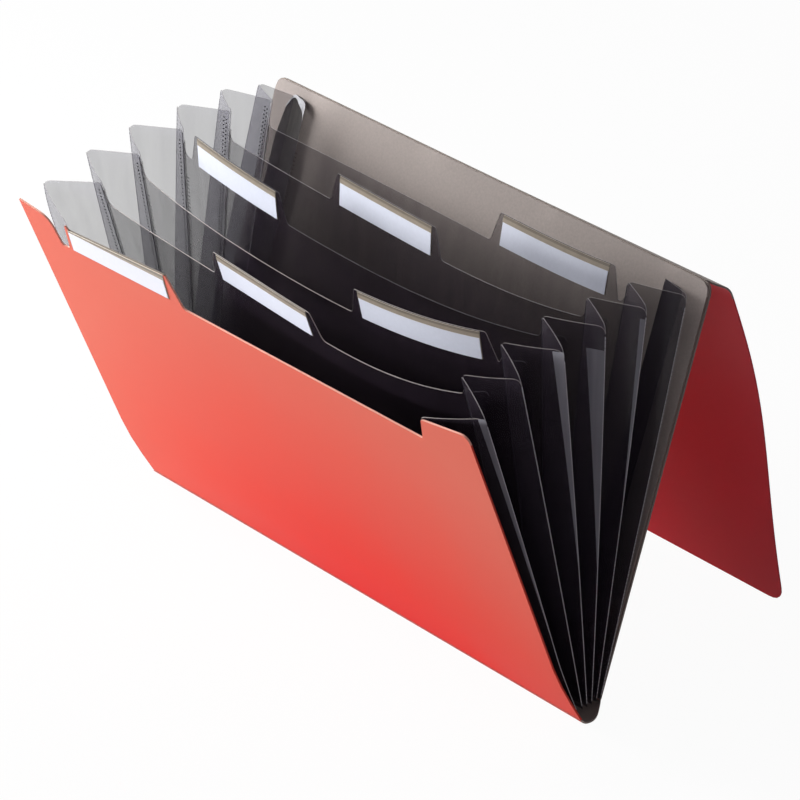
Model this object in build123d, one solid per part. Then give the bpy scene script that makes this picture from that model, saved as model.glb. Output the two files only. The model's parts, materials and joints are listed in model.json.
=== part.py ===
from build123d import *
import os
from math import acos, asin, atan2, cos, degrees, radians, sin, sqrt, tan

# An accordion file folder, stood open like a fan. Lengths are in millimetres, angles in degrees.
# X runs along the creases, the front is at -Y, Z is up. The origin is under the middle of the spine.

# Cover: a creased sheet that makes the front, the spine, the rear, the top strip and the flap
front_width = 330.0
rear_width = 318.0
cover_thickness = 1.0
spine_depth = 20.0
spine_curl = 2.5
rear_height = 222.0
front_lean = 22.1
rear_lean = 18.5
crease_gap = 0.3
open_crease_gap = 0.8

# Front panel: two ears, a label tab beside the left ear, a low edge between them, and a bulge to the front
front_bulge = 4.2
ear_height = 212.0
low_edge_height = 190.5
ear_corner_radius = 5.0
right_ear_width = 34.0
right_ear_drop = 6.5
right_notch_slant = 4.0
left_ear_width = 21.5
left_ear_drop = 3.5
left_ear_radius = 9.0
left_notch_slant = 2.5
left_notch_width = 4.0

# Liner board in front of the rear panel
board_thickness = 1.0
board_margin = 0.8
board_foot = 4.0
board_corner_radius = 7.0

# Top strip and flap, folded back behind the rear panel so that the flap's edge stands on the floor
strip_width = 20.5
strip_droop = 42.6
strip_bulge = 1.4
strip_trim = 1.3
flap_lean = 14.0
flap_bulge = 5.0
flap_corner_radius = 10.0

# Dividers between the pockets, each a step taller than the one in front of it
pocket_count = 6
divider_thickness = 0.4
divider_lift = 2.5
divider_edge_height = 200.0
divider_step = 1.6
divider_end_rise = 4.0
divider_end_run = 1.0
divider_end_radius = 1.5

# Index tabs, each with a label sleeve and a paper card on its front face
tab_height = 16.5
tab_top_width = 77.0
tab_slant = 4.5
tab_corner_radius = 1.5
tab_foot_radius = 1.5
divider_tab_columns = (0, 1, -1, 0, 1)
sleeve_width = 71.6
sleeve_height = 16.4
sleeve_thickness = 0.3
sleeve_top_margin = 0.5
card_width = 71.0
card_height = 12.9
card_thickness = 0.2
card_foot_margin = 0.1

# Side pleats: one folded strip of film on each side of each pocket, each a step taller than the one in front
pleat_thickness = 0.3
pleat_panel_width = 29.7
pleat_inset = 28.0
pleat_flange = 6.0
pleat_nose = 0.8
pleat_foot_height = 8.5
pleat_top_height = 218.0
pleat_step = 1.6
bulge_steps = 4
weld_gap = 0.05

crease_height = spine_curl + cover_thickness / 2
pleat_inner_fold = rear_width / 2 - pleat_inset
rear_sheet = pocket_count


def save(shape, name):
    """Write one piece under its name."""
    export_step(shape, f"parts/{name}.step")


def face_of(corners):
    """Flat face from (x, y, corner radius) rows."""
    points = [(x, y) for x, y, radius in corners]
    radii = [radius for x, y, radius in corners]
    return make_face(FilletPolyline(*points, radius=radii, close=True))


def rod(length, radius, height=0):
    """Round edge along X, at a height up the sheet."""
    return Pos(0, height, 0) * Rot(0, 90, 0) * Cylinder(radius, length)


def sheet_lean(index):
    """Lean of an upright sheet to the rear: 0 is the front panel, then the dividers, then the rear."""
    return (front_lean + rear_lean) * index / pocket_count - front_lean


def sheet_crease(index):
    """Y and Z of the line that a sheet turns about."""
    y = spine_depth * (index / pocket_count - 1 / 2)
    is_cover = index in (0, rear_sheet)
    return y, crease_height if is_cover else crease_height + divider_lift


def sheet_thickness(index):
    """Thickness of an upright sheet."""
    return cover_thickness if index in (0, rear_sheet) else divider_thickness


def sheet_plane(index):
    """Plane of an upright sheet: x along its crease, y up the sheet, z to the front."""
    y, z = sheet_crease(index)
    lean = radians(sheet_lean(index))
    return Plane(origin=(0, y, z), x_dir=(1, 0, 0), z_dir=(0, -cos(lean), sin(lean)))


def bulge_radius():
    """Radius of the front panel's bulge, an arc from its crease to the height of its ears."""
    return (ear_height**2 / 4 + front_bulge**2) / (2 * front_bulge)


def bulge_at(index, rise):
    """How far a sheet bulges to the front at a height up the sheet. Only the front panel does."""
    if index:
        return 0
    radius = bulge_radius()
    return sqrt(radius**2 - (rise - ear_height / 2) ** 2) - radius + front_bulge


def bulged_band(low, high, back, thickness, width):
    """Band along X that follows the front panel's bulge between two heights, from back to its front face."""
    radius = bulge_radius()
    centre = (ear_height / 2, front_bulge - radius)
    first = degrees(acos((high - ear_height / 2) / radius))
    last = degrees(acos((low - ear_height / 2) / radius))
    arcs = [CenterArc(centre, radius + offset, first, last - first) for offset in (back, back + thickness)]
    ends = [Line(arcs[0] @ place, arcs[1] @ place) for place in (0, 1)]
    return extrude(Plane.YZ * make_face(arcs + ends), width / 2, both=True)


def plate(index, middle, foot, top, width, back, thickness):
    """Thin plate on the front face of a sheet."""
    if index == 0:
        return Pos(middle, 0, 0) * bulged_band(foot, top, back, thickness, width)
    return Pos(middle, (foot + top) / 2, back + thickness / 2) * Box(width, top - foot, thickness)


def tab_corners(left_top, edge):
    """Outline of an index tab, from its right foot to its left foot."""
    right_top = left_top + tab_top_width
    return [
        (right_top + tab_slant, edge, tab_foot_radius),
        (right_top, edge + tab_height, tab_corner_radius),
        (left_top, edge + tab_height, tab_corner_radius),
    ]


def make_labels(index, left_top, edge):
    """Sleeve and paper card on the front face of a sheet's tab."""
    plane = sheet_plane(index)
    middle = left_top + tab_top_width / 2
    sleeve_top = edge + tab_height - sleeve_top_margin
    sleeve_foot = sleeve_top - sleeve_height
    sleeve_back = sheet_thickness(index) / 2 + weld_gap
    sleeve = plate(index, middle, sleeve_foot, sleeve_top, sleeve_width, sleeve_back, sleeve_thickness)
    save(plane * sleeve, f"label_sleeve_{index + 1}")
    card_foot = sleeve_foot + card_foot_margin
    card_back = sleeve_back + sleeve_thickness + weld_gap
    card = plate(index, middle, card_foot, card_foot + card_height, card_width, card_back, card_thickness)
    save(plane * card, f"label_card_{index + 1}")


def make_front_panel():
    """Bulged front panel with its ears and label tab, and a round lower edge on the front crease."""
    half = front_width / 2
    right_ear = half - right_ear_width
    left_ear = left_ear_width - half
    notch = left_ear + left_notch_slant
    tab_left = notch + left_notch_width + tab_slant
    corners = [
        (-half, -cover_thickness, 0),
        (half, -cover_thickness, 0),
        (half, ear_height, ear_corner_radius),
        (right_ear, ear_height - right_ear_drop, tab_corner_radius),
        (right_ear - right_notch_slant, low_edge_height, tab_corner_radius),
    ]
    corners += tab_corners(tab_left, low_edge_height)
    corners += [
        (notch + left_notch_width, low_edge_height, tab_corner_radius),
        (notch, low_edge_height, tab_corner_radius),
        (left_ear, ear_height - left_ear_drop, left_ear_radius),
        (-half, ear_height, 0),
    ]
    top = ear_height + cover_thickness
    panel = bulged_band(0, top, -cover_thickness / 2, cover_thickness, front_width)
    panel &= extrude(face_of(corners), front_bulge + cover_thickness, both=True)
    panel += rod(front_width, cover_thickness / 2)
    save(sheet_plane(0) * panel, "front_panel")
    make_labels(0, tab_left, low_edge_height)


def make_spine():
    """Bottom spine: a flat strip whose long edges curl up to the two creases."""
    outer = spine_curl + cover_thickness / 2
    inner = spine_curl - cover_thickness / 2
    centre = spine_depth / 2 - spine_curl
    front_angle = degrees(asin((cover_thickness / 2 + open_crease_gap) / spine_curl))
    rear_angle = degrees(asin((cover_thickness / 2 + crease_gap) / spine_curl))
    front_arcs = [
        CenterArc((-centre, crease_height), radius, 180 + front_angle, 90 - front_angle)
        for radius in (outer, inner)
    ]
    rear_arcs = [CenterArc((centre, crease_height), radius, 270, 90 - rear_angle) for radius in (outer, inner)]
    edges = front_arcs + rear_arcs
    edges += [Line(front @ 1, rear @ 0) for front, rear in zip(front_arcs, rear_arcs)]
    edges += [Line(front_arcs[0] @ 0, front_arcs[1] @ 0), Line(rear_arcs[0] @ 1, rear_arcs[1] @ 1)]
    strip = extrude(Plane.YZ * make_face(edges), front_width / 2, both=True)
    half_depth = spine_depth / 2 + cover_thickness / 2
    plan = Polyline(
        (-front_width / 2, -half_depth),
        (front_width / 2, -half_depth),
        (rear_width / 2, half_depth),
        (-rear_width / 2, half_depth),
        close=True,
    )
    save(strip & extrude(make_face(plan), crease_height), "bottom_spine")


def make_rear():
    """Rear panel with round edges on its two creases, and the liner board welded to its front face."""
    panel = Pos(0, rear_height / 2, 0) * Box(rear_width, rear_height, cover_thickness)
    panel += rod(rear_width, cover_thickness / 2)
    panel += rod(rear_width, cover_thickness / 2, rear_height)
    save(sheet_plane(rear_sheet) * panel, "rear_panel")
    half = rear_width / 2 - board_margin
    corners = [
        (-half, board_foot, 0),
        (half, board_foot, 0),
        (half, rear_height, board_corner_radius),
        (-half, rear_height, board_corner_radius),
    ]
    board = extrude(face_of(corners), board_thickness)
    save(sheet_plane(rear_sheet) * Pos(0, 0, cover_thickness / 2 + weld_gap) * board, "rear_board")


def curved_sheet(start, end, bulge, start_trim, end_trim):
    """Part of the cover bent to an arc between two creases, as a solid along X."""
    chord = end - start
    radius = (chord.length**2 / 4 + bulge**2) / (2 * bulge)
    outward = Vector(-chord.Y, chord.X).normalized()
    centre = (start + end) / 2 - outward * (radius - bulge)
    first = degrees(atan2(start.Y - centre.Y, start.X - centre.X)) - degrees(start_trim / radius)
    last = degrees(atan2(end.Y - centre.Y, end.X - centre.X)) + degrees(end_trim / radius)
    arcs = [
        CenterArc(centre, radius + side * cover_thickness / 2, last, first - last)
        for side in (1, -1)
    ]
    ends = [Line(arcs[0] @ place, arcs[1] @ place) for place in (0, 1)]
    return extrude(Plane.YZ * make_face(arcs + ends), rear_width / 2, both=True)


def make_flap():
    """Top strip rolled over the rear panel's top crease, and the flap that hangs from it to the floor."""
    lean = radians(rear_lean)
    droop = radians(strip_droop)
    top = Vector(spine_depth / 2 + rear_height * sin(lean), crease_height + rear_height * cos(lean))
    hang = top + Vector(cos(droop), -sin(droop)) * strip_width
    foot_height = cover_thickness / 2
    foot = Vector(hang.X + (hang.Y - foot_height) * tan(radians(flap_lean)), foot_height)
    save(curved_sheet(top, hang, strip_bulge, strip_trim, strip_trim), "top_strip")
    flap = curved_sheet(hang, foot, flap_bulge, 0, 0)
    for place in (hang, foot):
        flap += Pos(0, place.X, place.Y) * Rot(0, 90, 0) * Cylinder(cover_thickness / 2, rear_width)
    half = rear_width / 2
    corners = [
        (-half, 0, flap_corner_radius),
        (half, 0, flap_corner_radius),
        (half, top.Y, 0),
        (-half, top.Y, 0),
    ]
    reach = foot.X + rear_width
    save(flap & extrude(Plane.XZ * face_of(corners), -reach), "flap")


def make_divider(index):
    """Film divider with an index tab, a round lower edge, and ends that rise to the pleats' folds."""
    half = pleat_inner_fold
    edge = divider_edge_height + divider_step * (index - pocket_count / 2)
    end_room = divider_end_run + divider_end_radius + tab_foot_radius + tab_slant
    tab_pitch = half - end_room - tab_top_width / 2
    tab_left = divider_tab_columns[index - 1] * tab_pitch - tab_top_width / 2
    corners = [
        (-half, 0, 0),
        (half, 0, 0),
        (half, edge + divider_end_rise, 0),
        (half - divider_end_run, edge, divider_end_radius),
    ]
    corners += tab_corners(tab_left, edge)
    corners += [
        (tab_left - tab_slant, edge, tab_foot_radius),
        (divider_end_run - half, edge, divider_end_radius),
        (-half, edge + divider_end_rise, 0),
    ]
    sheet = extrude(face_of(corners), divider_thickness / 2, both=True)
    sheet += rod(2 * half, divider_thickness / 2)
    save(sheet_plane(index) * sheet, f"divider_{index}")
    make_labels(index, tab_left, edge)


def seat_point(index, height, side):
    """Y and Z of the middle of a pleat's flange on a sheet's rear (1) or front (-1) face."""
    y, z = sheet_crease(index)
    lean = radians(sheet_lean(index))
    offset = sheet_thickness(index) / 2 + weld_gap + pleat_thickness / 2
    if index == rear_sheet:
        offset += board_thickness + weld_gap
    rise = height - z
    out = side * offset - bulge_at(index, rise)
    return Vector(0, y + rise * sin(lean) + out * cos(lean), z + rise * cos(lean) - out * sin(lean))


def ribbon(points, thickness):
    """Closed outline of a folded strip around its centre line."""
    lines = [(end - start).normalized() for start, end in zip(points, points[1:])]
    sides = [[], []]
    for place, point in enumerate(points):
        before = lines[max(place - 1, 0)]
        after = lines[min(place, len(lines) - 1)]
        normals = [Vector(-line.Y, line.X) for line in (before, after)]
        mitre = (normals[0] + normals[1]) / (1 + normals[0].dot(normals[1]))
        for side, sign in zip(sides, (1, -1)):
            side.append(point + mitre * (sign * thickness / 2))
    return Polyline(*sides[0], *reversed(sides[1]), close=True)


def pleat_section(pocket, height):
    """Cross-section of a right-hand pleat at a height: flange, panel, outer fold, panel, flange."""
    front = seat_point(pocket - 1, height, 1)
    rear = seat_point(pocket, height, -1)
    half_gap = (rear - front).length / 2
    half_nose = pleat_nose / 2
    outer_fold = pleat_inner_fold + sqrt(pleat_panel_width**2 - (half_gap - half_nose) ** 2)
    front_half = [(pleat_inner_fold - pleat_flange, half_gap), (pleat_inner_fold, half_gap), (outer_fold, half_nose)]
    points = [Vector(x, -y) for x, y in front_half]
    points += [Vector(x, y) for x, y in reversed(front_half)]
    across = (rear - front).normalized()
    plane = Plane(origin=(front + rear) / 2, x_dir=(1, 0, 0), z_dir=Vector(1, 0, 0).cross(across))
    return plane * make_face(ribbon(points, pleat_thickness))


def make_pleats(pocket):
    """Right-hand pleat of a pocket and its mirror image on the left. The first pocket's follow the bulge."""
    rise = pleat_top_height + pleat_step * (pocket - (pocket_count + 1) / 2) - pleat_foot_height
    steps = bulge_steps if pocket == 1 else 1
    heights = [pleat_foot_height + rise * step / steps for step in range(steps + 1)]
    pleat = loft([pleat_section(pocket, height) for height in heights], ruled=True)
    save(pleat, f"right_pleat_{pocket}")
    save(mirror(pleat, about=Plane.YZ), f"left_pleat_{pocket}")


os.makedirs("parts", exist_ok=True)
make_front_panel()
make_spine()
make_rear()
make_flap()
for divider in range(1, pocket_count):
    make_divider(divider)
for pocket in range(1, pocket_count + 1):
    make_pleats(pocket)
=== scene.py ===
import json
from math import asin, ceil, cos, pi, radians, sin, sqrt

import bmesh
import bpy
from mathutils import Matrix, Vector


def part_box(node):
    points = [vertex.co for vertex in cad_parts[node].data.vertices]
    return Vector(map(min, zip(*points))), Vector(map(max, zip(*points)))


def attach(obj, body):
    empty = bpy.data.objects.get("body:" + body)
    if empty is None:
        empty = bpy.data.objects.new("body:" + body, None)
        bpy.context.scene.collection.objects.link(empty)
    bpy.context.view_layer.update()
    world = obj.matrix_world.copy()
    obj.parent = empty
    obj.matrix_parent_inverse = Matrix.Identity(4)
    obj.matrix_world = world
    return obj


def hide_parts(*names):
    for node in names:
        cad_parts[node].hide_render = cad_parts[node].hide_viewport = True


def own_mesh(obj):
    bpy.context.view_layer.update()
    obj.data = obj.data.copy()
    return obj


# An accordion file folder, stood open like a fan. Lengths are in millimetres until a mesh is made, but the
# centre of the painted light on the front, the floor, the lamps and the camera's reach are in metres. X
# runs along the creases, the front is at -Y and Z is up. A sheet has u along its crease, v up it and n out
# of its front face. A hand is 1 at right and -1 at left.
metre = 0.001

# Cover: red outside, taupe inside
cover_thickness = 1.0
crease_gap = 0.3
spine_curl = 2.5
spine_end_bulge = 4.0
spine_end_skew = 1.5

# Front panel: two ears, a label tab beside the left ear, a low edge between the ears, and a bulge that is
# fullest near its foot
front_bulge = 4.2
front_bulge_height = 45.0
front_bulge_loss = 2.7
front_bulge_twist = 1.0
ear_height = 212.0
low_edge_height = 190.5
ear_corner_radius = 5.0
right_ear_width = 34.0
right_ear_drop = 6.5
right_notch_slant = 4.0
left_ear_width = 21.5
left_ear_drop = 3.5
left_ear_radius = 9.0
left_notch_slant = 2.5
left_notch_width = 6.5
front_tab_width = 79.6
front_tab_height = 16.1
front_tab_rise = 5.9
front_tab_horn_height = 19.4
front_tab_horn_width = 1.7

# Front label: it leans to the right, and its card rises less than the top of its tab
front_label_middle = -92.85
front_label_slant = 0.18
front_label_foot = 2.1
front_sleeve_width = 75.9
front_card_width = 74.5
front_card_height = 13.8
front_card_rise = 2.2
front_card_foot_margin = 0.6

# Liner board in front of the rear panel
board_thickness = 1.0
board_foot = 4.0
board_corner_radius = 7.0
weld_gap = 0.05

# Top strip, rolled over the top, and flap, whose bulge is fullest above its middle
rear_height = 222.0
strip_bulge = 2.2
strip_skew_share = -0.2
strip_left_share = 0.1
strip_trim = 0.7
flap_bulge = 5.0
flap_skew_share = 0.4
flap_left_share = 1.0
flap_foot_height = 0.5
flap_corner_radius = 10.0

# Dividers: each bows to the front between its ends, more to the right, and ends in a flange along the pleat
divider_thickness = 0.4
divider_edge_height = 200.0
divider_step = 1.6
left_end_rises = {1: 9.0, 2: 8.0, 3: 7.0, 4: 5.0, 5: 1.5}
left_end_run = 2.0
left_end_radius = 9.0
left_end_top_radius = 1.0
right_end_rise = 4.0
right_end_run = 1.8
right_end_top_radius = 0.5
flange_width = 11.0
flange_rise = 2.5
flange_start = 1.5
flange_start_rise_share = 0.25
flange_corner_radius = 2.5
middle_bows = {1: 6.5, 2: 14.5, 3: 13.0, 4: 8.0, 5: 0.5}
right_bows = {1: 8.0, 2: 4.5, 3: 4.5, 4: 6.5, 5: 4.5}
right_bow_peak_share = 0.8
divider_tab_columns = {1: 0, 2: 1, 3: -1, 4: 0, 5: 1}
tab_pitch = 84.0
# Edges of the dividers: the bright ones carry a painted highlight, the dim one painted shade
divider_edge_kinds = {1: "bright", 2: "bright", 3: "dim", 4: "plain", 5: "plain"}

# Index tabs and their labels
tab_height = 16.5
tab_top_width = 77.0
tab_slant = 4.5
tab_corner_radius = 1.5
tab_foot_radius = 3.0
sleeve_width = 71.6
sleeve_height = 16.2
sleeve_thickness = 0.3
sleeve_top_margin = 0.4
lip_height = 2.2
lip_thickness = 0.12
card_width = 71.0
card_height = 12.4
card_thickness = 0.2
card_foot_margin = 0.1

# Side pleats: a front and a rear panel of film for each pocket and side
pleat_thickness = 0.3
pleat_panel_width = 29.7
pleat_inner_fold = 131.0
pleat_foot_height = 4.5
pleat_top_height = 217.0
pleat_top_drops = {1: 3.6, -1: 1.6}
pleat_top_steps = {1: 1.4, -1: 1.8}
pleat_top_trims = {(1, 0): -2.5, (1, 6): -3.5, (-1, 2): -1.0, (-1, 4): 1.5, (-1, 5.5): -1.6, (-1, 6): -6.4}
inner_corner_radius = 2.0
outer_corner_radius = 4.0
panel_bulges = {(1, 1): 0.8, (1, -1): 0.5, (-1, 1): 0.8, (-1, -1): 0.0}

# Uneven film, by hand and fold: how much further out some inner folds lie, and how far the tops of some
# outer folds reach out, lie to the rear, or swell below
fold_offsets = {(1, 2): -1.5, (1, 3): -2.0, (-1, 1): 4.0, (-1, 2): 6.0, (-1, 3): 4.5, (-1, 6): 11.5}
fold_reaches = {(1, 1): 4.5, (1, 2): -1.0}
fold_reaches |= {(-1, 1): 7.5, (-1, 2): 6.7, (-1, 3): 5.0, (-1, 4): 2.0, (-1, 5): 1.5}
fold_shifts = {(-1, 4): 2.0, (-1, 5): 3.0}
fold_swells = {(-1, 1): 7.0}
swell_power = 3

# Painted glints: light strips that paint the reflection on the film beside right-hand outer folds: width
# and drop at the top, and the share of the height that each one ends at
glint_widths = {1: 2.8, 3: 5.0, 4: 8.5, 5: 2.5}
glint_drops = {1: 0.5, 3: 1.0, 4: 13.0, 5: 6.0}
glint_end_shares = {1: 0.3, 3: 0.42, 4: 0.40, 5: 0.55}
glint_least_width = 0.3
glint_thickness = 0.04
glint_gap = 0.03

# Flanges of the rear pleats on the board: the left one turns in and stands off, the right one turns out and
# lies flat. The left one's crumpled top is white with a painted highlight
left_flange_width = 12.8
left_flange_stand = 3.2
left_flange_lift = 1.5
left_tail_width = 7.5
left_tail_drop = 27.0
left_shoulder_width = 4.2
left_shoulder_drop = 7.0
right_flange_width = 12.5
flange_outer_drop = 1.0
crumple_height = 6.5
crumple_least_height = 1.6
crumple_stand = 1.0

# Seams along the inner folds, dashes pressed along the outer ones, and weld dots beside the inner ones. The
# dashes and some left-hand seams are white with a painted highlight
seam_width = 0.5
seam_depth = 0.3
painted_highlight_seams = (4, 5)
dash_length = 1.7
dash_pitch = 2.1
dash_width = 0.3
dash_lift = 0.1
dot_pitch = 2.2
dot_radius = 0.42
dot_height = 0.12
dot_sides = 6
right_dot_rows = (1.3, 2.6)
left_dot_rows = {1: (1.7,), 2: (1.7,), 3: (1.7,), 4: (1.7, 3.1), 5: (1.7, 3.1)}
weld_foot_height = 2 * pleat_foot_height
hatch_folds = (2, 3, 6)
hatch_start = 1.2
rear_hatch_start = 8.5
hatch_length = 3.0
hatch_width = 0.5
hatch_height = 0.1

# Grid steps
longest_column = 5.0
flap_longest_column = 20.0
flange_longest_column = 2.0
spine_columns = 16
pleat_corner_columns = 4
pleat_middle_columns = 5
glint_columns = 3
corner_steps = 5
sheet_rows = 14
spine_rows = 28
strip_rows = 12
flap_rows = 24
pleat_rows = 12
short_rows = 4
sharp_angle = 35.0

# Kinds of face on a sheet, after its front
rear_face = 1
side_edge = 2
top_edge = 3
face_kinds = 4

# Patterns of the materials: their stretch along X, Y and Z, and how far gloss and haze vary
even = (1.0, 1.0, 1.0)
upright = (1.0, 1.0, 0.04)
whole = (0.0, 1.0)
cloud_detail = 4.0
cloud_range = (0.3, 0.7)
gloss_shares = (0.85, 1.15)
haze_shares = (0.92, 1.08)
grain_detail = 2.0
bump_strength = 0.6

# Painted light and sheen: the front of the cover grows paler with the distance from a point below its foot,
# as though more light fell on its top and left
painted_light_centre = (0.025, 0.0, -0.16)
painted_light_stretch = (1.3, 0.0, 1.0)
painted_light_range = (0.162, 0.362)

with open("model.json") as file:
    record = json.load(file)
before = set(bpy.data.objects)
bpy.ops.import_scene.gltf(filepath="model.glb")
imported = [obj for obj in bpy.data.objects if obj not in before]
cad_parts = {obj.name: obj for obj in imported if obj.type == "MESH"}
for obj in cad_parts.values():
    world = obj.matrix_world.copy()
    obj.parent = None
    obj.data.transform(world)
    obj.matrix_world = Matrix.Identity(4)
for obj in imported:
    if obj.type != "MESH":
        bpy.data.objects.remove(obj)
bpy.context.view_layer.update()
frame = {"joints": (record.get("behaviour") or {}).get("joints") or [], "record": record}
joints = {joint["name"]: joint for joint in frame["joints"]}
couplings = {pair["joint"]: pair for pair in frame["record"]["behaviour"]["couplings"]}
pocket_count = len(middle_bows) + 1
rear_sheet = pocket_count
divider_names = [f"divider_{index}" for index in middle_bows]
sheet_bodies = ["front_cover"] + divider_names + ["rear_cover"]
sheet_joints = ["front_fold"] + [f"{name}_fold" for name in divider_names] + ["rear_fold"]
creases = [Vector(joints[name]["pos_m"]) / metre for name in sheet_joints]
rear_lean = joints["rear_fold"]["range_deg"][1]
lean_step = -couplings["front_fold"]["ratio"] * rear_lean
leans = [radians(rear_lean - lean_step * (rear_sheet - index)) for index in range(pocket_count + 1)]
front_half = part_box("front_panel")[1].x / metre
rear_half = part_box("rear_panel")[1].x / metre
board_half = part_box("rear_board")[1].x / metre


# Materials

def linear(colour):
    """Linear colour from display values of 0 to 255."""
    shares = [value / 255 for value in colour]
    return tuple(x / 12.92 if x <= 0.04045 else ((x + 0.055) / 1.055) ** 2.4 for x in shares)


def shade(colour, factor):
    """Colour made darker or lighter."""
    return tuple(min(value * factor, 1.0) for value in colour) + (1.0,)


def open_nodes(holder):
    """Nodes and links of a material or world."""
    holder.use_nodes = True
    return holder.node_tree.nodes, holder.node_tree.links


def add_noise(nodes, links, place, size, detail):
    """Noise with patches of a size in millimetres."""
    noise = nodes.new("ShaderNodeTexNoise")
    noise.inputs["Scale"].default_value = 1 / (size * metre)
    noise.inputs["Detail"].default_value = detail
    links.new(place, noise.inputs["Vector"])
    return noise.outputs["Fac"]


def add_range(nodes, links, value, source, result):
    """Value mapped from one range to another."""
    mapped = nodes.new("ShaderNodeMapRange")
    mapped.inputs["From Min"].default_value = source[0]
    mapped.inputs["From Max"].default_value = source[1]
    mapped.inputs["To Min"].default_value = result[0]
    mapped.inputs["To Max"].default_value = result[1]
    links.new(value, mapped.inputs["Value"])
    return mapped.outputs["Result"]


def add_vector_step(nodes, links, operation, value, other=None):
    """Node that works on a vector, and on another fixed one."""
    step = nodes.new("ShaderNodeVectorMath")
    step.operation = operation
    links.new(value, step.inputs[0])
    if other:
        step.inputs[1].default_value = other
    return step


def add_math(nodes, links, operation, value, other):
    """Result of a sum on two values."""
    step = nodes.new("ShaderNodeMath")
    step.operation = operation
    links.new(value, step.inputs[0])
    links.new(other, step.inputs[1])
    return step.outputs[0]


def add_painted_light(nodes, links, place, near, far):
    """Painted light: colour that turns from near to far, away from painted_light_centre."""
    away = add_vector_step(nodes, links, "SUBTRACT", place, painted_light_centre)
    stretched = add_vector_step(nodes, links, "MULTIPLY", away.outputs["Vector"], painted_light_stretch)
    distance = add_vector_step(nodes, links, "LENGTH", stretched.outputs["Vector"])
    blend = nodes.new("ShaderNodeMix")
    blend.data_type = "RGBA"
    share = add_range(nodes, links, distance.outputs["Value"], painted_light_range, whole)
    links.new(share, blend.inputs["Factor"])
    links.new(near, blend.inputs["A"])
    blend.inputs["B"].default_value = shade(far, 1.0)
    return blend.outputs["Result"]


def make_material(
    name, colour, spread, patch, roughness, grain, depth, stretch=even, alpha=1.0, specular=0.5, painted_light_colour=None
):
    """Surface with cloudy colour, uneven gloss and a fine grain. patch and grain are sizes in millimetres.

    Colours are display values of 0 to 255. The surface turns to the colour painted_light_colour, away from
    painted_light_centre, as painted light.
    """
    base = linear(colour)
    material = bpy.data.materials.new(name)
    nodes, links = open_nodes(material)
    shader = nodes["Principled BSDF"]
    place = nodes.new("ShaderNodeTexCoord").outputs["Object"]
    mapping = nodes.new("ShaderNodeMapping")
    mapping.inputs["Scale"].default_value = stretch
    links.new(place, mapping.inputs["Vector"])
    clouds = add_noise(nodes, links, mapping.outputs["Vector"], patch, cloud_detail)
    tint = nodes.new("ShaderNodeValToRGB")
    for element, position, factor in zip(tint.color_ramp.elements, cloud_range, (1 - spread, 1 + spread)):
        element.position = position
        element.color = shade(base, factor)
    links.new(clouds, tint.inputs["Fac"])
    surface = tint.outputs["Color"]
    if painted_light_colour:
        surface = add_painted_light(nodes, links, place, surface, linear(painted_light_colour))
    links.new(surface, shader.inputs["Base Color"])
    gloss = add_range(nodes, links, clouds, whole, [roughness * share for share in gloss_shares])
    links.new(gloss, shader.inputs["Roughness"])
    bump = nodes.new("ShaderNodeBump")
    bump.inputs["Strength"].default_value = bump_strength
    bump.inputs["Distance"].default_value = depth * metre
    links.new(add_noise(nodes, links, place, grain, grain_detail), bump.inputs["Height"])
    links.new(bump.outputs["Normal"], shader.inputs["Normal"])
    if alpha < 1:
        haze = add_range(nodes, links, clouds, cloud_range, [alpha * share for share in haze_shares])
        links.new(haze, shader.inputs["Alpha"])
    shader.inputs["Specular IOR Level"].default_value = specular
    material.diffuse_color = base + (alpha,)
    return material


# Each group of materials shares the values of a finish
red_sheet = {"spread": 0.03, "patch": 60, "roughness": 0.5, "grain": 0.5, "depth": 0.02}
# The red of the front face holds painted light and sheen, paler towards its top and left
front_red = make_material("front_red", (212, 36, 32), **red_sheet, specular=0.05, painted_light_colour=(206, 103, 86))
# A deeper, bluer copy of the cover's red, which paints the shade on the back of the rear panel and on the
# flap
painted_shade_red = make_material("painted_shade_red", (243, 71, 83), **red_sheet, specular=0.12)
cover_red = make_material("cover_red", (213, 62, 46), **red_sheet, specular=0.12)

taupe_sheet = {"roughness": 0.55, "specular": 0.3}
cover_taupe = make_material(
    "cover_taupe", (146, 134, 126), spread=0.03, patch=6, grain=0.6, depth=0.03, **taupe_sheet
)
board_taupe = make_material(
    "board_taupe", (178, 167, 161), spread=0.07, patch=1.2, grain=0.7, depth=0.04, **taupe_sheet
)

# The top edges of the front panel and the board are paler than their sheets: a painted highlight
sheet_rim = {"grain": 0.4, "depth": 0.02}
cover_edge_painted_highlight = make_material("cover_edge_painted_highlight", (240, 170, 150), spread=0.08, patch=6, roughness=0.5, **sheet_rim)
board_edge_painted_highlight = make_material("board_edge_painted_highlight", (206, 196, 188), spread=0.06, patch=5, roughness=0.45, **sheet_rim)

any_film = {"stretch": upright, "depth": 0.01}
clear_film = {"roughness": 0.2, "grain": 2.0, **any_film}
dark_film = {"spread": 0.2, "specular": 0.25, **clear_film}
divider_film = make_material("divider_film", (46, 38, 48), patch=8, alpha=0.3, **dark_film)
weld_film = make_material("weld_film", (42, 38, 46), patch=9, alpha=0.14, **dark_film)
# The pleats are one film in two copies: at right darker, as painted shade, and at left lighter, as painted
# light
right_film_painted_shade = make_material("right_film_painted_shade", (60, 53, 63), patch=9, alpha=0.34, **dark_film)
left_film_painted_light = make_material(
    "left_film_painted_light", (106, 103, 120), spread=0.05, patch=9, alpha=0.265, specular=0.2, **clear_film
)
pleat_films = {1: right_film_painted_shade, -1: left_film_painted_light}
flange_film = make_material(
    "flange_film", (52, 50, 52), spread=0.25, patch=3, roughness=0.25, grain=2.0, alpha=0.45,
    specular=0.3, **any_film
)
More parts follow.
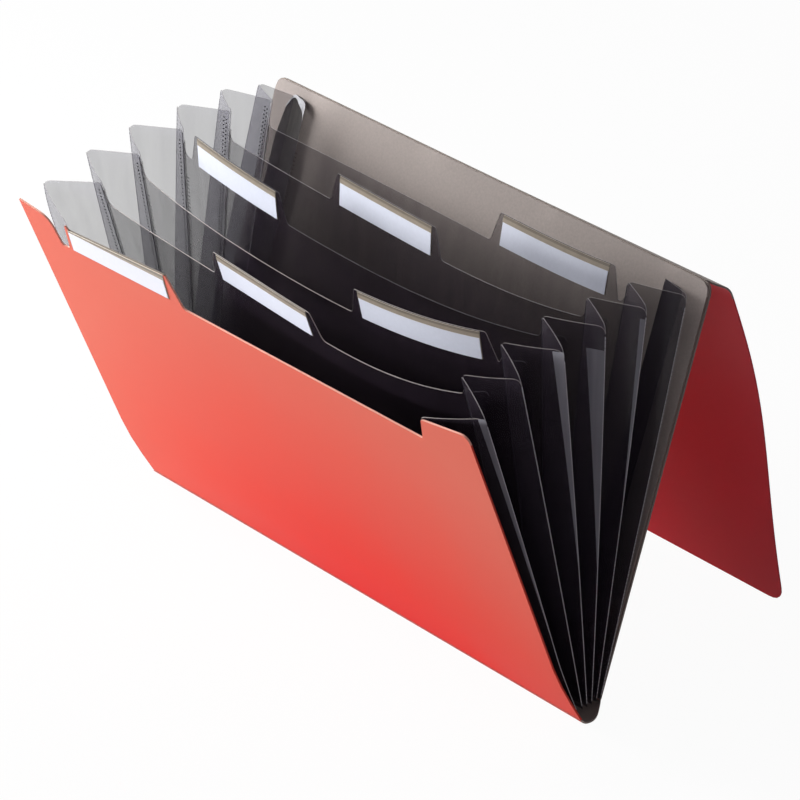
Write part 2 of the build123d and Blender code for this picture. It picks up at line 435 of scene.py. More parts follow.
# Pale film that paints the glint beside the right-hand outer folds
painted_glint_film = make_material(
    "painted_glint_film", (178, 178, 186), spread=0.1, patch=6, roughness=0.3, grain=1.0, alpha=0.55,
    specular=0.3, **any_film
)
# Pale film that paints the highlight on the crumpled top of the left board flange
film_crumple_painted_highlight = make_material(
    "film_crumple_painted_highlight", (214, 214, 218), spread=0.2, patch=3, roughness=0.25, grain=1.5, depth=0.4, alpha=0.75
)

film_rim = {"patch": 4, "roughness": 0.3, "grain": 0.6, "depth": 0.01}
film_edge = make_material("film_edge", (182, 178, 178), spread=0.15, alpha=0.85, **film_rim)
# Copies of the film edge: a darker one as painted shade and a paler one as a painted highlight
painted_shade_edge = make_material("painted_shade_edge", (104, 100, 106), spread=0.15, alpha=0.7, **film_rim)
painted_highlight_edge = make_material("painted_highlight_edge", (226, 218, 212), spread=0.05, alpha=0.8, **film_rim)
edge_kinds = {"dim": painted_shade_edge, "plain": film_edge, "bright": painted_highlight_edge}
divider_edges = {index: edge_kinds[kind] for index, kind in divider_edge_kinds.items()}

mark = {"patch": 3, "grain": 0.5, "depth": 0.02}
# The dashes are pressed marks whose white is a painted highlight, whiter at right than at left
fold_marks_and_highlights = {
    1: make_material("right_fold_mark_and_highlight", (238, 236, 240), spread=0.1, roughness=0.35, **mark),
    -1: make_material("left_fold_mark_and_highlight", (176, 174, 178), spread=0.15, roughness=0.35, **mark),
}
weld_mark = make_material("weld_mark", (40, 39, 46), spread=0.2, roughness=0.3, **mark)
weld_dot = make_material("weld_dot", (22, 21, 28), spread=0.2, roughness=0.5, specular=0.1, **mark)
seam_dark = make_material("seam_dark", (92, 90, 94), spread=0.2, roughness=0.3, **mark)
# A pale seam, which paints a highlight on some left-hand inner folds
seam_painted_highlight = make_material("seam_painted_highlight", (196, 195, 198), spread=0.15, roughness=0.3, **mark)

sleeve = {"spread": 0.06, "patch": 4, "roughness": 0.35, "grain": 0.5, "depth": 0.02}
sleeve_film = make_material("sleeve_film", (122, 113, 102), specular=0.3, **sleeve)
sleeve_lip = make_material("sleeve_lip", (150, 140, 126), specular=0.3, **sleeve)
# The sleeve's top edge is pale with a painted highlight
sleeve_edge_painted_highlight = make_material("sleeve_edge_painted_highlight", (232, 222, 204), **sleeve)

paper = {"patch": 2, "roughness": 0.7, "depth": 0.02}
card_paper = make_material("card_paper", (212, 216, 229), spread=0.02, grain=0.25, specular=0.2, **paper)
# The card's edges are paler than the card: a painted highlight
card_edge_painted_highlight = make_material("card_edge_painted_highlight", (236, 239, 246), spread=0.03, grain=0.3, **paper)


# Building

def link_object(name, data):
    """Object in the scene, from a mesh, lamp or camera."""
    made = bpy.data.objects.new(name, data)
    bpy.context.scene.collection.objects.link(made)
    return made


def add_object(name, points, faces, picks, materials):
    """Mesh object from points in millimetres, with a material number for each face."""
    mesh = bpy.data.meshes.new(name)
    mesh.from_pydata([point * metre for point in points], [], faces)
    for material in materials:
        mesh.materials.append(material)
    for polygon, pick in zip(mesh.polygons, picks):
        polygon.material_index = pick
        polygon.use_smooth = True
    shell = bmesh.new()
    shell.from_mesh(mesh)
    bmesh.ops.recalc_face_normals(shell, faces=shell.faces)
    shell.to_mesh(mesh)
    shell.free()
    mesh.set_sharp_from_angle(angle=radians(sharp_angle))
    return link_object(name, mesh)


def add_sheet(name, columns, place, materials, rows=sheet_rows, is_other=None):
    """Closed thin sheet on columns of (u, low, high).

    place(u, v, side) is a point of its front (1) or rear (-1). materials are those of the front, the rear,
    the side edges and the top edge. Where is_other(u) holds, the next four are used.
    """
    points = []
    for side in (1, -1):
        for u, low, high in columns:
            points += [place(u, low + (high - low) * row / rows, side) for row in range(rows + 1)]
    height = rows + 1
    back = len(columns) * height
    faces = []
    picks = []
    others = []
    for (u, _, _), (next_u, _, _) in zip(columns, columns[1:]):
        others.append(face_kinds if is_other and is_other((u + next_u) / 2) else 0)
    for column, other in enumerate(others):
        for row in range(rows):
            first = column * height + row
            corners = [first, first + height, first + height + 1, first + 1]
            faces.append(corners)
            faces.append([back + corner for corner in reversed(corners)])
            picks += [other, other + rear_face]
    last = back - height
    rim = [column * height for column in range(len(columns))]
    rim += [last + row for row in range(1, height)]
    rim += [column * height + rows for column in reversed(range(len(columns) - 1))]
    rim += [row for row in reversed(range(1, rows))]
    for start, end in zip(rim, rim[1:] + rim[:1]):
        faces.append([start, back + start, back + end, end])
        is_top = start % height == rows and end % height == rows
        column = min(start // height, end // height, len(others) - 1)
        picks.append(others[column] + (top_edge if is_top else side_edge))
    return add_object(name, points, faces, picks, materials)


def rounded_path(corners):
    """Edge as (u, v) points, from (u, v, radius) corners."""
    path = []
    for place, (u, v, radius) in enumerate(corners):
        corner = Vector((u, v))
        if not radius or place in (0, len(corners) - 1):
            path.append(corner)
            continue
        before = Vector(corners[place - 1][:2]) - corner
        after = Vector(corners[place + 1][:2]) - corner
        turn = before.angle(after) / 2
        reach = min(radius / (sin(turn) / cos(turn)), before.length / 2, after.length / 2)
        start = corner + before.normalized() * reach
        end = corner + after.normalized() * reach
        for step in range(corner_steps + 1):
            share = step / corner_steps
            path.append(start * (1 - share) ** 2 + corner * (2 * share * (1 - share)) + end * share**2)
    return path


def fill_path(path, longest=longest_column):
    """The same edge with points added on its long runs."""
    filled = [path[0]]
    for point in path[1:]:
        start = filled[-1]
        count = max(1, ceil((point - start).length / longest))
        filled += [start.lerp(point, step / count) for step in range(1, count + 1)]
    return filled


def sheet_bulge(index, u, v):
    """How far the front panel bulges: fullest a little above its foot, then less, most so to the right."""
    if index:
        return 0.0
    if v < front_bulge_height:
        return front_bulge * sin(pi / 2 * max(v, 0.0) / front_bulge_height)
    loss = front_bulge_loss + front_bulge_twist * u / front_half
    return front_bulge - loss * (v - front_bulge_height) / (ear_height - front_bulge_height)


def on_sheet(index, u, v, n=0.0):
    """Point of an upright sheet: 0 is the front panel, then the dividers, then the rear."""
    lean = leans[index]
    n += sheet_bulge(index, u, v)
    y = creases[index].y + v * sin(lean) - n * cos(lean)
    z = creases[index].z + v * cos(lean) + n * sin(lean)
    return Vector((u, y, z))


def sheet_normal(index):
    """Direction out of the front face of an upright sheet."""
    return Vector((0, -cos(leans[index]), sin(leans[index])))


def tab_edge(tops, edge):
    """Corners of an index tab, from its left foot over the corners of its top to its right foot."""
    corners = [(tops[0][0] - tab_slant, edge, tab_foot_radius)]
    corners += [(u, edge + height, tab_corner_radius) for u, height in tops]
    corners += [(tops[-1][0] + tab_slant, edge, tab_foot_radius)]
    return corners


def flatten(piece):
    """Give a piece its own copy of its mesh."""
    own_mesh(piece)


def add_label(index, middle, tab_top, place):
    """Sleeve and paper card on the front of a tab. place(u, v, n) is a point of the tab's sheet."""
    sleeve_back = (divider_thickness if index else cover_thickness) / 2 + weld_gap
    card_back = sleeve_back + sleeve_thickness + weld_gap
    if index:
        width = sleeve_width
        paper_width = card_width
        sleeve_top = tab_top - sleeve_top_margin
        sleeve_foot = sleeve_top - sleeve_height
        card_foot = sleeve_foot + card_foot_margin
        card_top = card_foot + card_height
        lip_top = card_top + lip_height
        card_slope = 0.0
        top_slope = 0.0
        slant = 0.0
    else:
        width = front_sleeve_width
        paper_width = front_card_width
        sleeve_top = tab_top
        sleeve_foot = low_edge_height + front_label_foot
        card_foot = sleeve_foot + front_card_foot_margin
        card_top = card_foot + front_card_height
        lip_top = (card_top + sleeve_top) / 2
        card_slope = front_card_rise / front_card_width
        top_slope = front_tab_rise / front_tab_width
        slant = front_label_slant
    lip_slope = (card_slope + top_slope) / 2
    sleeve_materials = [sleeve_film, sleeve_film, sleeve_film, sleeve_edge_painted_highlight]
    card_materials = [card_paper, card_paper, card_edge_painted_highlight, card_edge_painted_highlight]
    lip_materials = [sleeve_lip] * face_kinds
    foot_line = (sleeve_foot, card_slope)
    top_line = (sleeve_top, top_slope)
    card_foot_line = (card_foot, card_slope)
    card_top_line = (card_top, card_slope)
    lip_line = (lip_top, lip_slope)
    pieces = (
        ("sleeve", width, foot_line, top_line, sleeve_back, sleeve_thickness, sleeve_materials),
        ("card", paper_width, card_foot_line, card_top_line, card_back, card_thickness, card_materials),
        ("lip", width, card_top_line, lip_line, card_back - weld_gap, lip_thickness, lip_materials),
    )
    for kind, across, low, high, back, thick, materials in pieces:
        ends = [Vector((middle - across / 2, 0.0)), Vector((middle + across / 2, 0.0))]
        columns = []
        for point in fill_path(ends):
            off = point.x - middle
            columns.append((point.x, low[0] + low[1] * off, high[0] + high[1] * off))
        name = f"label_{kind}_{index + 1}"

        def label_point(u, v, side, back=back, thick=thick):
            return place(u + slant * (v - card_foot), v, back + (thick if side > 0 else 0))

        piece = add_sheet(f"{name}_shown", columns, label_point, materials, rows=short_rows)
        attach(piece, sheet_bodies[index])
        if index:
            flatten(piece)
        if kind != "lip":
            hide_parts(name)


# Cover

def dress_cover(piece, body, node):
    """Tie a piece of the cover to its body and its CAD node."""
    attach(piece, body)
    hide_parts(node)


def add_front_panel():
    """Front panel with its ears, label tab and label."""
    right_ear = front_half - right_ear_width
    left_ear = left_ear_width - front_half
    notch = left_ear + left_notch_slant
    tab_left = notch + left_notch_width + tab_slant
    tab_right = tab_left + front_tab_width
    horn_end = tab_left + front_tab_horn_width
    tops = (
        (tab_left, front_tab_horn_height),
        (horn_end, front_tab_height),
        (tab_right, front_tab_height + front_tab_rise),
    )
    corners = [(-front_half, ear_height, 0)]
    corners += [(left_ear, ear_height - left_ear_drop, left_ear_radius)]
    corners += [(notch, low_edge_height, tab_corner_radius)]
    corners += tab_edge(tops, low_edge_height)
    corners += [
        (right_ear - right_notch_slant, low_edge_height, tab_corner_radius),
        (right_ear, ear_height - right_ear_drop, tab_corner_radius),
        (front_half, ear_height, ear_corner_radius),
        (front_half, ear_height / 2, 0),
    ]
    path = fill_path(rounded_path(corners)[:-1])
    columns = [(point.x, -cover_thickness / 2, point.y) for point in path]

    def front_point(u, v, side):
        return on_sheet(0, u, v, side * cover_thickness / 2)

    def is_tab(u):
        return horn_end < u < tab_right

    faces = [front_red, cover_taupe, cover_red]
    materials = faces + [cover_edge_painted_highlight] + faces + [sleeve_film]
    piece = add_sheet("front_panel_shown", columns, front_point, materials, is_other=is_tab)
    dress_cover(piece, "front_cover", "front_panel")
    tab_top = low_edge_height + front_tab_height + front_tab_rise / 2
    add_label(0, front_label_middle, tab_top, lambda u, v, n: on_sheet(0, u, v, n))


def arch(share):
    """1 in the middle of a span and 0 at its ends."""
    return 4 * share * (1 - share)


def add_spine():
    """Bottom spine, with long edges that curl up to the two creases."""
    front = creases[0]
    rear = creases[rear_sheet]
    start = asin((cover_thickness / 2 + crease_gap) / spine_curl)
    turn = pi / 2 - start
    flat = rear.y - front.y - 2 * spine_curl
    curl_length = turn * spine_curl
    length = 2 * curl_length + flat

    def spine_point(u, v, side):
        radius = spine_curl - side * cover_thickness / 2
        if v < curl_length:
            angle = pi + start + v / spine_curl
            y = front.y + spine_curl + radius * cos(angle)
            z = front.z + radius * sin(angle)
        elif v > curl_length + flat:
            angle = -pi / 2 + (v - curl_length - flat) / spine_curl
            y = rear.y - spine_curl + radius * cos(angle)
            z = rear.z + radius * sin(angle)
        else:
            y = front.y + spine_curl + v - curl_length
            z = front.z - radius
        share = (y - front.y) / (rear.y - front.y)
        half = front_half + (rear_half - front_half) * share
        half += spine_end_bulge * arch(share) * (spine_end_skew - share)
        return Vector((u * half, y, z))

    columns = [(2 * step / spine_columns - 1, 0, length) for step in range(spine_columns + 1)]
    # The spine's cut ends take the dark taupe of the inside, as painted shade
    materials = [cover_taupe, cover_red, cover_taupe, cover_red]
    piece = add_sheet("bottom_spine_shown", columns, spine_point, materials, rows=spine_rows)
    dress_cover(piece, "spine", "bottom_spine")


def top_with_corners(half, top, radius, longest=longest_column):
    """Edge of a panel with two round corners."""
    corners = [
        (-half, top - 2 * radius, 0),
        (-half, top, radius),
        (half, top, radius),
        (half, top - 2 * radius, 0),
    ]
    return fill_path(rounded_path(corners)[1:-1], longest)


def add_rear():
    """Rear panel, and the liner board on its front face."""
    def rear_point(u, v, side):
        return on_sheet(rear_sheet, u, v, side * cover_thickness / 2)

    half = cover_thickness / 2
    path = top_with_corners(rear_half, rear_height + half, board_corner_radius)
    columns = [(point.x, -half, point.y) for point in path]
    # The back of the rear panel takes the red with painted shade
    materials = [cover_taupe, painted_shade_red, cover_taupe, cover_taupe]
    piece = add_sheet("rear_panel_shown", columns, rear_point, materials)
    dress_cover(piece, "rear_cover", "rear_panel")

    board_back = half + weld_gap

    def board_point(u, v, side):
        return on_sheet(rear_sheet, u, v, board_back + (board_thickness if side > 0 else 0))

    path = top_with_corners(board_half, rear_height, board_corner_radius)
    columns = [(point.x, board_foot, point.y) for point in path]
    materials = [board_taupe, board_taupe, cover_taupe, board_edge_painted_highlight]
    board = add_sheet("rear_board_shown", columns, board_point, materials)
    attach(board, "rear_cover")
    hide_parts("rear_board")


def add_flap():
    """Top strip rolled over the rear panel, and the flap that hangs from it to the floor."""
    crease_of = {name: Vector(joints[name]["pos_m"]) / metre for name in ("strip_fold", "flap_fold")}
    top = Vector((crease_of["strip_fold"].y, crease_of["strip_fold"].z))
    hang = Vector((crease_of["flap_fold"].y, crease_of["flap_fold"].z))
    foot = Vector((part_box("flap")[1].y / metre - flap_foot_height, flap_foot_height))
    pieces = (
        ("top_strip", top, hang, strip_bulge, strip_left_share, strip_skew_share, cover_taupe, strip_rows),
        ("flap", hang, foot, flap_bulge, flap_left_share, flap_skew_share, painted_shade_red, flap_rows),
    )
    for name, start, end, most, left_share, skew, edge, rows in pieces:
        chord = end - start
        length = chord.length
        along = chord.normalized()
        outward = Vector((-along.y, along.x))

        def flap_point(u, v, side):
            turn = pi * v / length
            bulge = most * (left_share + (1 - left_share) * (u + rear_half) / (2 * rear_half))
            rise = bulge * (sin(turn) + skew * sin(2 * turn))
            slope = bulge * pi / length * (cos(turn) + 2 * skew * cos(2 * turn))
            normal = (outward - along * slope).normalized()
            spot = start + along * v + outward * rise + normal * (side * cover_thickness / 2)
            return Vector((u, spot.x, spot.y))

        if name == "top_strip":
            path = top_with_corners(rear_half, -strip_trim, board_corner_radius)
            columns = [(point.x, -point.y, length) for point in path]
        else:
            path = top_with_corners(rear_half, length, flap_corner_radius, flap_longest_column)
            columns = [(point.x, 0.0, point.y) for point in path]
        materials = [cover_taupe, painted_shade_red, edge, edge]
        piece = add_sheet(f"{name}_shown", columns, flap_point, materials, rows=rows)
        dress_cover(piece, name, name)


# Film

def seat_offset(index):
    """Distance of a pleat's fold line from the middle of the sheet that it is welded to."""
    thickness = cover_thickness if index in (0, rear_sheet) else divider_thickness
    offset = thickness / 2 + weld_gap + pleat_thickness / 2
    return offset + board_thickness + weld_gap if index == rear_sheet else offset


def pleat_frame(pocket, height):
    """A pocket's front and rear folds at a height, half their gap, the pleat's reach, the way across."""
    front = on_sheet(pocket - 1, 0, height - creases[pocket - 1].z, -seat_offset(pocket - 1))
    rear = on_sheet(pocket, 0, height - creases[pocket].z, seat_offset(pocket))
    half_gap = (rear - front).length / 2
    reach = sqrt(pleat_panel_width**2 - half_gap**2)
    return front, rear, half_gap, reach, (rear - front).normalized()


def dress_film(piece, index):
    """Tie a piece of film to the sheet that carries it, and give it its own mesh."""
    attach(piece, sheet_bodies[index])
    flatten(piece)


def side_name(hand):
    """Right (1) or left (-1) in words."""
    return "right" if hand > 0 else "left"


def fold_top(place, hand):
    """Height of the top of a fold. Inner fold k is at place k, the outer one of pocket k at k - 0.5."""
    top = pleat_top_height - pleat_top_drops[hand] + pleat_top_steps[hand] * (place - 0.5)
    return top + pleat_top_trims.get((hand, place), 0.0)


def inner_fold(index, hand):
    """Distance of an inner fold from the middle of its sheet."""
    return pleat_inner_fold + fold_offsets.get((hand, index), 0.0)


def rise_share(height):
    """Share of the way up a pleat."""
    return max((height - pleat_foot_height) / (pleat_top_height - pleat_foot_height), 0.0)


def panel_point(pocket, hand, half, share, height, lift):
    """Point of a pleat's front (1) or rear (-1) panel: share runs from the inner fold to the outer fold."""
    front, rear, half_gap, reach, across = pleat_frame(pocket, height)
    start = front if half > 0 else rear
    slope = half_gap / pleat_panel_width
    run = reach / pleat_panel_width
    along = share * pleat_panel_width
    fold_share = share * rise_share(height)
    more = fold_reaches.get((hand, pocket), 0.0) * fold_share
    swell = sin(pi * min(rise_share(height), 1.0) ** swell_power)
    more += fold_swells.get((hand, pocket), 0.0) * share * swell
    shift = fold_shifts.get((hand, pocket), 0.0) * fold_share
    index = pocket - 1 if half > 0 else pocket
    offset = fold_offsets.get((hand, index), 0.0) * (1 - share)
    out = pleat_inner_fold + offset + along * run + lift * slope + more
    depth = half * (along * slope - lift * run)
    return start + across * depth + Vector((hand * out, shift, 0))


def panel_lift(hand, half, share, height):
    """How far a panel's middle stands out, more towards the top."""
    return panel_bulges[(hand, half)] * sin(pi * share) * rise_share(height)


def corner_dip(distance):
    """Drop of a panel's top edge beside a fold, where its corner is rounded."""
    corners = ((inner_corner_radius, distance), (outer_corner_radius, pleat_panel_width - distance))
    for radius, room in corners:
        if room < radius:
            return radius - sqrt(radius**2 - (radius - room) ** 2)
    return 0.0


def add_pleat_panel(pocket, hand, half):
    """One panel of a pleat, on the sheet that it is welded to."""
    half_name = "front" if half > 0 else "rear"
    corner = [1 - cos(pi / 2 * step / pleat_corner_columns) for step in range(pleat_corner_columns + 1)]
    middle_room = pleat_panel_width - inner_corner_radius - outer_corner_radius
    distances = [inner_corner_radius * share for share in corner]
    for step in range(1, pleat_middle_columns):
        distances.append(inner_corner_radius + middle_room * step / pleat_middle_columns)
    distances += [pleat_panel_width - outer_corner_radius * share for share in reversed(corner)]
    index = pocket - 1 if half > 0 else pocket
    inner_top = fold_top(index, hand)
    outer_top = fold_top(pocket - 0.5, hand)
    columns = []
    for distance in distances:
        top = inner_top + (outer_top - inner_top) * distance / pleat_panel_width
        columns.append((distance, pleat_foot_height, top - corner_dip(distance)))

    def film_point(u, v, side):
        share = u / pleat_panel_width
        lift = panel_lift(hand, half, share, v) + side * pleat_thickness / 2
        return panel_point(pocket, hand, half, share, v, lift)

    name = f"{side_name(hand)}_pleat_{pocket}_{half_name}"
    # The top edges of the right front panels carry a painted highlight
    edge = painted_highlight_edge if hand > 0 and half > 0 else film_edge
    piece = add_sheet(name, columns, film_point, [pleat_films[hand]] * top_edge + [edge], rows=pleat_rows)
    dress_film(piece, index)
    if half < 0:
        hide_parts(f"{side_name(hand)}_pleat_{pocket}")


def add_glint(pocket):
    """Painted glint: a light strip beside a right-hand outer fold, on the front panel of the pleat,
    narrower lower down.
    """
    top = fold_top(pocket - 0.5, 1) - glint_drops[pocket]
    low = pleat_foot_height + (top - pleat_foot_height) * glint_end_shares[pocket]
    columns = [(step / glint_columns, low, top) for step in range(glint_columns + 1)]

    def glint_point(u, v, side):
        width = glint_least_width + glint_widths[pocket] * (v - low) / (top - low)
        share = 1 - width * (1 - u) / pleat_panel_width
        lift = panel_lift(1, 1, share, v) + pleat_thickness / 2 + glint_gap + side * glint_thickness / 2
        return panel_point(pocket, 1, 1, share, v, lift)

    materials = [painted_glint_film] * face_kinds
    piece = add_sheet(f"right_fold_{pocket}_painted_glint", columns, glint_point, materials, rows=pleat_rows)
    dress_film(piece, pocket - 1)


def add_board_flange(hand):
    """Flange of a rear pleat on the liner board. The left one stands off it and is crumpled at its top,
    which a painted highlight whitens.
    """
    seat = seat_offset(rear_sheet)
    fold = hand * inner_fold(rear_sheet, hand)
    top = fold_top(pocket_count, hand) - creases[rear_sheet].z
    width = right_flange_width
    stand = 0.0
    corners = [(0, top, 0)]
    if hand < 0:
        top += left_flange_lift
        width = left_flange_width
        stand = left_flange_stand
        corners = [
            (-left_tail_width, top - left_tail_drop, 0),
            (-left_shoulder_width, top - left_shoulder_drop, left_shoulder_width),
            (0, top, left_shoulder_width),
        ]
    corners.append((width, top - flange_outer_drop, outer_corner_radius))
    corners.append((width, top - 3 * outer_corner_radius, 0))
    path = fill_path(rounded_path(corners)[:-1], flange_longest_column)

    def flange_point(u, v, side):
        n = seat + stand * (max(u, 0.0) / width) ** 2 + side * pleat_thickness / 2
        return on_sheet(rear_sheet, fold + u, v, n)

    columns = [(point.x, pleat_foot_height, point.y) for point in path]
    materials = [flange_film, flange_film, film_edge, film_edge]
    piece = add_sheet(f"{side_name(hand)}_board_flange", columns, flange_point, materials)
    dress_film(piece, rear_sheet)
    if hand > 0:
        return

    def crumple_point(u, v, side):
        ridge = 1 - abs(2 * max(u, 0.0) / width - 1)
        stand_off = pleat_thickness + crumple_stand * ridge
        return flange_point(u, v, side) + sheet_normal(rear_sheet) * stand_off

    columns = []
    for point in path:
        if point.x >= -left_shoulder_width:
            height = max(crumple_height * point.x / width, crumple_least_height)
            columns.append((point.x, point.y - height, point.y))
    materials = [film_crumple_painted_highlight] * face_kinds
    piece = add_sheet("left_board_flange_crumple", columns, crumple_point, materials, rows=short_rows)
    dress_film(piece, rear_sheet)


def add_bars(name, stations, material):
    """Object of closed bars, each from two rings of points."""
    points = []
    faces = []
    for start, end in stations:
        count = len(start)
        ring = [len(points) + corner for corner in range(count)]
        points += start + end
        faces += [[a, b, b + count, a + count] for a, b in zip(ring, ring[1:] + ring[:1])]
        faces += [ring[::-1], [a + count for a in ring]]
    return add_object(name, points, faces, [0] * len(faces), [material])


def add_fold_dashes(pocket, hand):
    """Pressed dashes along the outer fold of a pleat, white with a painted highlight of its ridge."""
    bottom = pleat_foot_height + dash_pitch
    top = fold_top(pocket - 0.5, hand) - outer_corner_radius

    def ring_at(height):
        fold = panel_point(pocket, hand, -1, 1.0, height, 0)
        across = pleat_frame(pocket, height)[-1] * (dash_width / 2)
        out = Vector((hand * dash_lift, 0, 0))
        return [fold - across - out, fold + across - out, fold + across + out, fold - across + out]

    starts = [bottom + step * dash_pitch for step in range(int((top - bottom) / dash_pitch))]
    stations = [(ring_at(start), ring_at(start + dash_length)) for start in starts]
    piece = add_bars(f"{side_name(hand)}_fold_{pocket}_dashes", stations, fold_marks_and_highlights[hand])
    dress_film(piece, pocket)


def add_fold_seam(index, hand):
    """Welded seam along an inner fold. Some left-hand seams are pale with a painted highlight."""
    top = fold_top(index, hand) - inner_corner_radius - creases[index].z
    bottom = pleat_foot_height - creases[index].z

    def ring_at(v):
        sides = ((-1, -1), (1, -1), (1, 1), (-1, 1))
        middle = hand * inner_fold(index, hand)
        return [
            on_sheet(index, middle + a * seam_width / 2, v, seat_offset(index) + b * seam_depth / 2)
            for a, b in sides
        ]

    rows = [bottom + (top - bottom) * step / sheet_rows for step in range(sheet_rows + 1)]
    stations = [(ring_at(start), ring_at(end)) for start, end in zip(rows, rows[1:])]
    # Some left-hand seams take a painted highlight
    material = weld_mark if hand > 0 else seam_painted_highlight if index in painted_highlight_seams else seam_dark
    piece = add_bars(f"{side_name(hand)}_fold_{index}_seam", stations, material)
    dress_film(piece, index)


def bow_at(index, u, v):
    """How far a divider bows to the front."""
    left = inner_fold(index, -1)
    share = min(max((u + left) / (left + inner_fold(index, 1)), 0.0), 1.0)
    power = right_bow_peak_share / (1 - right_bow_peak_share)
    highest = right_bow_peak_share**power * (1 - right_bow_peak_share)
    bow = middle_bows[index] * arch(share)
    bow += right_bows[index] * share**power * (1 - share) / highest
    return bow * max(v / divider_edge_height, 0.0)


def divider_point(index, u, v, n):
    """Point of a divider: its ends past the inner folds turn along the pleat behind."""
    hand = 1 if u > 0 else -1
    past = abs(u) - inner_fold(index, hand)
    if past <= 0:
        return on_sheet(index, u, v, bow_at(index, u, v) + n)
    height = max(v + creases[index].z, pleat_foot_height)
    share = past / pleat_panel_width
    lift = n - pleat_thickness - divider_thickness / 2
    return panel_point(index + 1, hand, 1, share, height, lift)


def add_divider(index):
    """Film divider with its index tab, end flanges and label."""
    edge = divider_edge_height + divider_step * (index - pocket_count / 2)
    tab_left = divider_tab_columns[index] * tab_pitch - tab_top_width / 2
    left = inner_fold(index, -1)
    right = inner_fold(index, 1)
    corners = [
        (-left - flange_width, edge, 0),
        (-left - flange_width, edge + left_end_rises[index] - flange_corner_radius, flange_corner_radius),
        (-left, edge + left_end_rises[index], left_end_top_radius),
        (left_end_run - left, edge, left_end_radius),
    ]
    corners += tab_edge(((tab_left, tab_height), (tab_left + tab_top_width, tab_height)), edge)
    corners += [
        (right - right_end_run, edge, right_end_run),
        (right, edge + right_end_rise, right_end_top_radius),
        (right + flange_start, edge + flange_rise * flange_start_rise_share, right_end_top_radius),
        (right + flange_width, edge + flange_rise, flange_corner_radius),
        (right + flange_width, edge - 2 * flange_corner_radius, 0),
    ]
    path = rounded_path(corners)[1:-1]
    columns = [(point.x, 0.0, point.y) for point in fill_path(path)]

    def film_point(u, v, side):
        return divider_point(index, u, v, side * divider_thickness / 2)

    def is_flange(u):
        return abs(u) > inner_fold(index, 1 if u > 0 else -1)

    materials = [divider_film] * top_edge + [divider_edges[index]] + [weld_film] * top_edge + [painted_shade_edge]
    piece = add_sheet(f"divider_{index}_shown", columns, film_point, materials, is_other=is_flange)
    dress_film(piece, index)
    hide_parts(f"divider_{index}")
    middle = tab_left + tab_top_width / 2
    add_label(index, middle, edge + tab_height, lambda u, v, n: divider_point(index, u, v, n))


def add_weld_hatch(index):
    """Short welds across the film, just inside a left-hand inner fold."""
    base = seat_offset(rear_sheet) if index == rear_sheet else divider_thickness / 2
    start = (rear_hatch_start if index == rear_sheet else hatch_start) - inner_fold(index, -1)
    ends = (start, start + hatch_length)
    count = int((divider_edge_height - 2 * weld_foot_height) / dot_pitch)

    def corner(u, v, n):
        if index == rear_sheet:
            return on_sheet(index, u, v, base + n)
        return divider_point(index, u, v, base + n)

    stations = []
    for step in range(count):
        v = weld_foot_height + step * dot_pitch
        sides = ((v, 0.0), (v + hatch_width, 0.0), (v + hatch_width, hatch_height), (v, hatch_height))
        stations.append([[corner(u, side, n) for side, n in sides] for u in ends])
    material = sleeve_film if index == rear_sheet else weld_mark
    piece = add_bars(f"left_weld_{index}_hatch", stations, material)
    dress_film(piece, index)


def add_weld_dots(index, hand):
    """Staggered rows of weld dots beside an inner fold: on a divider's flange, or at left on the pleat."""
    top = divider_edge_height if hand > 0 else fold_top(index, hand) - inner_corner_radius
    count = int((top - weld_foot_height) / dot_pitch)
    angles = [2 * pi * corner / dot_sides for corner in range(dot_sides)]
    circle = [(dot_radius * cos(angle), dot_radius * sin(angle)) for angle in angles]

    def dot_point(out, v, lift):
        if hand > 0:
            return divider_point(index, inner_fold(index, hand) + out, v, pleat_thickness * 2 + lift)
        return panel_point(index, hand, -1, out / pleat_panel_width, v, -pleat_thickness / 2 - lift)

    stations = []
    for row, distance in enumerate(right_dot_rows if hand > 0 else left_dot_rows[index]):
        for step in range(count):
            height = weld_foot_height + (step + row / 2) * dot_pitch
            ring = [(distance + out, height + rise) for out, rise in circle]
            stations.append([[dot_point(out, v, lift) for out, v in ring] for lift in (0.0, dot_height)])
    piece = add_bars(f"{side_name(hand)}_weld_{index}_dots", stations, weld_dot)
    dress_film(piece, index)


add_front_panel()
add_spine()
add_rear()
add_flap()
for divider in middle_bows:
    add_divider(divider)
    for hand in (1, -1):
        add_weld_dots(divider, hand)
        add_fold_seam(divider, hand)
for pocket in range(1, pocket_count + 1):
    for hand in (1, -1):
        for half in (1, -1):
            add_pleat_panel(pocket, hand, half)
        add_fold_dashes(pocket, hand)
for pocket in glint_widths:
    add_glint(pocket)
for hand in (1, -1):
    add_board_flange(hand)
for fold in hatch_folds:
    add_weld_hatch(fold)

# Stage, light and camera. The room is lightest to the left, in front and above, and dim and slightly violet
# on the other side
floor_half = 30.0
floor_colour = (0.9, 0.9, 0.9, 1)
floor_shown_share = 0.96
light_side = Vector((-0.7, -0.65, 0.2)).normalized()
facing_range = (-0.05, 1.0)
room_light_share = 0.25
dim_light = (0.06, 0.048, 0.066, 1)
full_light = (1.0, 1.0, 1.0, 1)
target = Vector((0.0, 20.31, 111.69))
camera_azimuth = radians(46.99)
camera_elevation = radians(30.27)
camera_distance = 2134.3
camera_slide = (0.203, -6.194)
camera_lens = 186.9
camera_sensor = 36.0
camera_reach = 100.0
film_layers = 64


def background_share(nodes, links):
    """1 for camera, glossy and transmission rays, which see a plain background, and 0 for others."""
    rays = nodes.new("ShaderNodeLightPath")
    total = rays.outputs["Is Camera Ray"]
    for kind in ("Is Glossy Ray", "Is Transmission Ray"):
        total = add_math(nodes, links, "MAXIMUM", total, rays.outputs[kind])
    return total


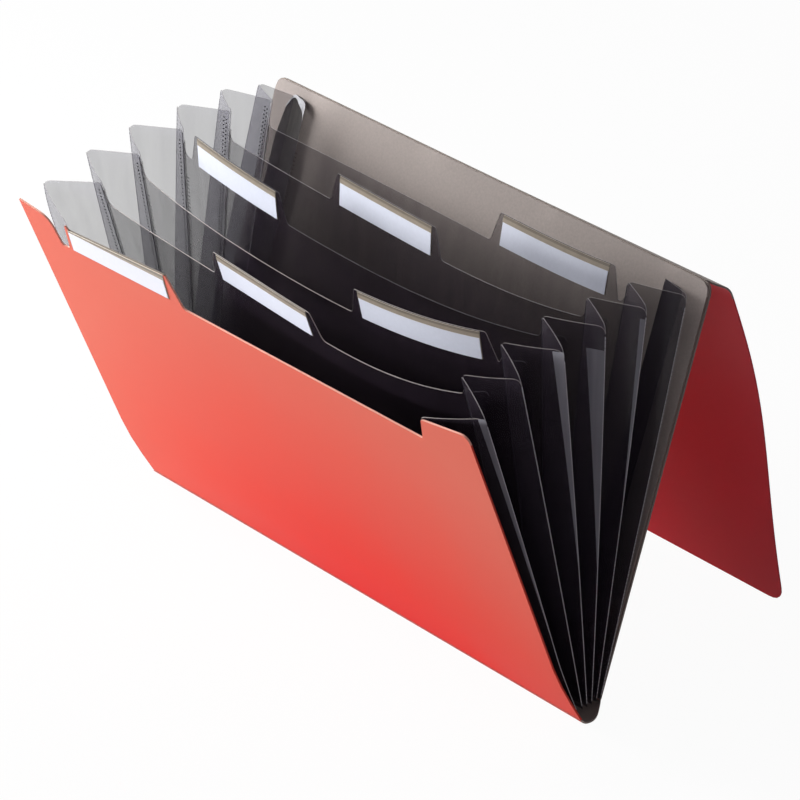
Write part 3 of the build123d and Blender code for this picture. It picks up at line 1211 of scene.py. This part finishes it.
def add_floor():
    """Pale floor."""
    mesh = bpy.data.meshes.new("floor")
    sides = ((-1, -1), (1, -1), (1, 1), (-1, 1))
    mesh.from_pydata([(x * floor_half, y * floor_half, 0) for x, y in sides], [], [(0, 1, 2, 3)])
    floor = link_object("floor", mesh)
    material = bpy.data.materials.new("studio_floor")
    nodes, links = open_nodes(material)
    nodes.clear()
    output = nodes.new("ShaderNodeOutputMaterial")
    diffuse = nodes.new("ShaderNodeBsdfDiffuse")
    diffuse.inputs["Color"].default_value = floor_colour
    white = nodes.new("ShaderNodeEmission")
    mix = nodes.new("ShaderNodeMixShader")
    shown = add_range(nodes, links, background_share(nodes, links), whole, (0.0, floor_shown_share))
    links.new(shown, mix.inputs["Fac"])
    links.new(diffuse.outputs["BSDF"], mix.inputs[1])
    links.new(white.outputs["Emission"], mix.inputs[2])
    links.new(mix.outputs["Shader"], output.inputs["Surface"])
    mesh.materials.append(material)


def add_room():
    """Light of the room, from all around."""
    world = bpy.data.worlds.new("studio")
    bpy.context.scene.world = world
    nodes, links = open_nodes(world)
    place = nodes.new("ShaderNodeTexCoord").outputs["Generated"]
    facing = add_vector_step(nodes, links, "DOT_PRODUCT", place, light_side).outputs["Value"]
    light = add_range(nodes, links, facing, facing_range, (0.0, room_light_share))
    tint = nodes.new("ShaderNodeValToRGB")
    tint.color_ramp.elements[0].color = dim_light
    tint.color_ramp.elements[1].color = full_light
    links.new(add_math(nodes, links, "MAXIMUM", light, background_share(nodes, links)), tint.inputs["Fac"])
    links.new(tint.outputs["Color"], nodes["Background"].inputs["Color"])


def add_lamp(name, direction, distance, size, power):
    """Soft square lamp that looks at the middle of the object."""
    lamp = bpy.data.lights.new(name, "AREA")
    lamp.size = size
    lamp.energy = power
    holder = link_object(name, lamp)
    away = Vector(direction).normalized()
    holder.location = target * metre + away * distance
    holder.rotation_mode = "QUATERNION"
    holder.rotation_quaternion = away.to_track_quat("Z", "Y")


def add_camera():
    """Camera that sees the object as the photo does."""
    right = Vector((cos(camera_azimuth), sin(camera_azimuth), 0))
    level = cos(camera_elevation)
    back = Vector((sin(camera_azimuth) * level, -cos(camera_azimuth) * level, sin(camera_elevation)))
    up = back.cross(right)
    spot = target + right * camera_slide[0] + up * camera_slide[1] + back * camera_distance
    camera = link_object("camera", bpy.data.cameras.new("camera"))
    camera.data.sensor_width = camera_sensor
    camera.data.lens = camera_lens
    camera.data.clip_end = camera_reach
    camera.matrix_world = Matrix.Translation(spot * metre) @ Matrix((right, up, back)).transposed().to_4x4()
    bpy.context.scene.camera = camera


add_floor()
add_room()
add_lamp("side", direction=(-0.85, -0.34, 0.40), distance=1.0, size=0.5, power=13.5)
add_lamp("front", direction=(-0.1, -1.0, 0.03), distance=1.6, size=0.3, power=12.0)
add_camera()
bpy.context.scene.view_settings.view_transform = "Standard"
bpy.context.scene.cycles.transparent_max_bounces = film_layers
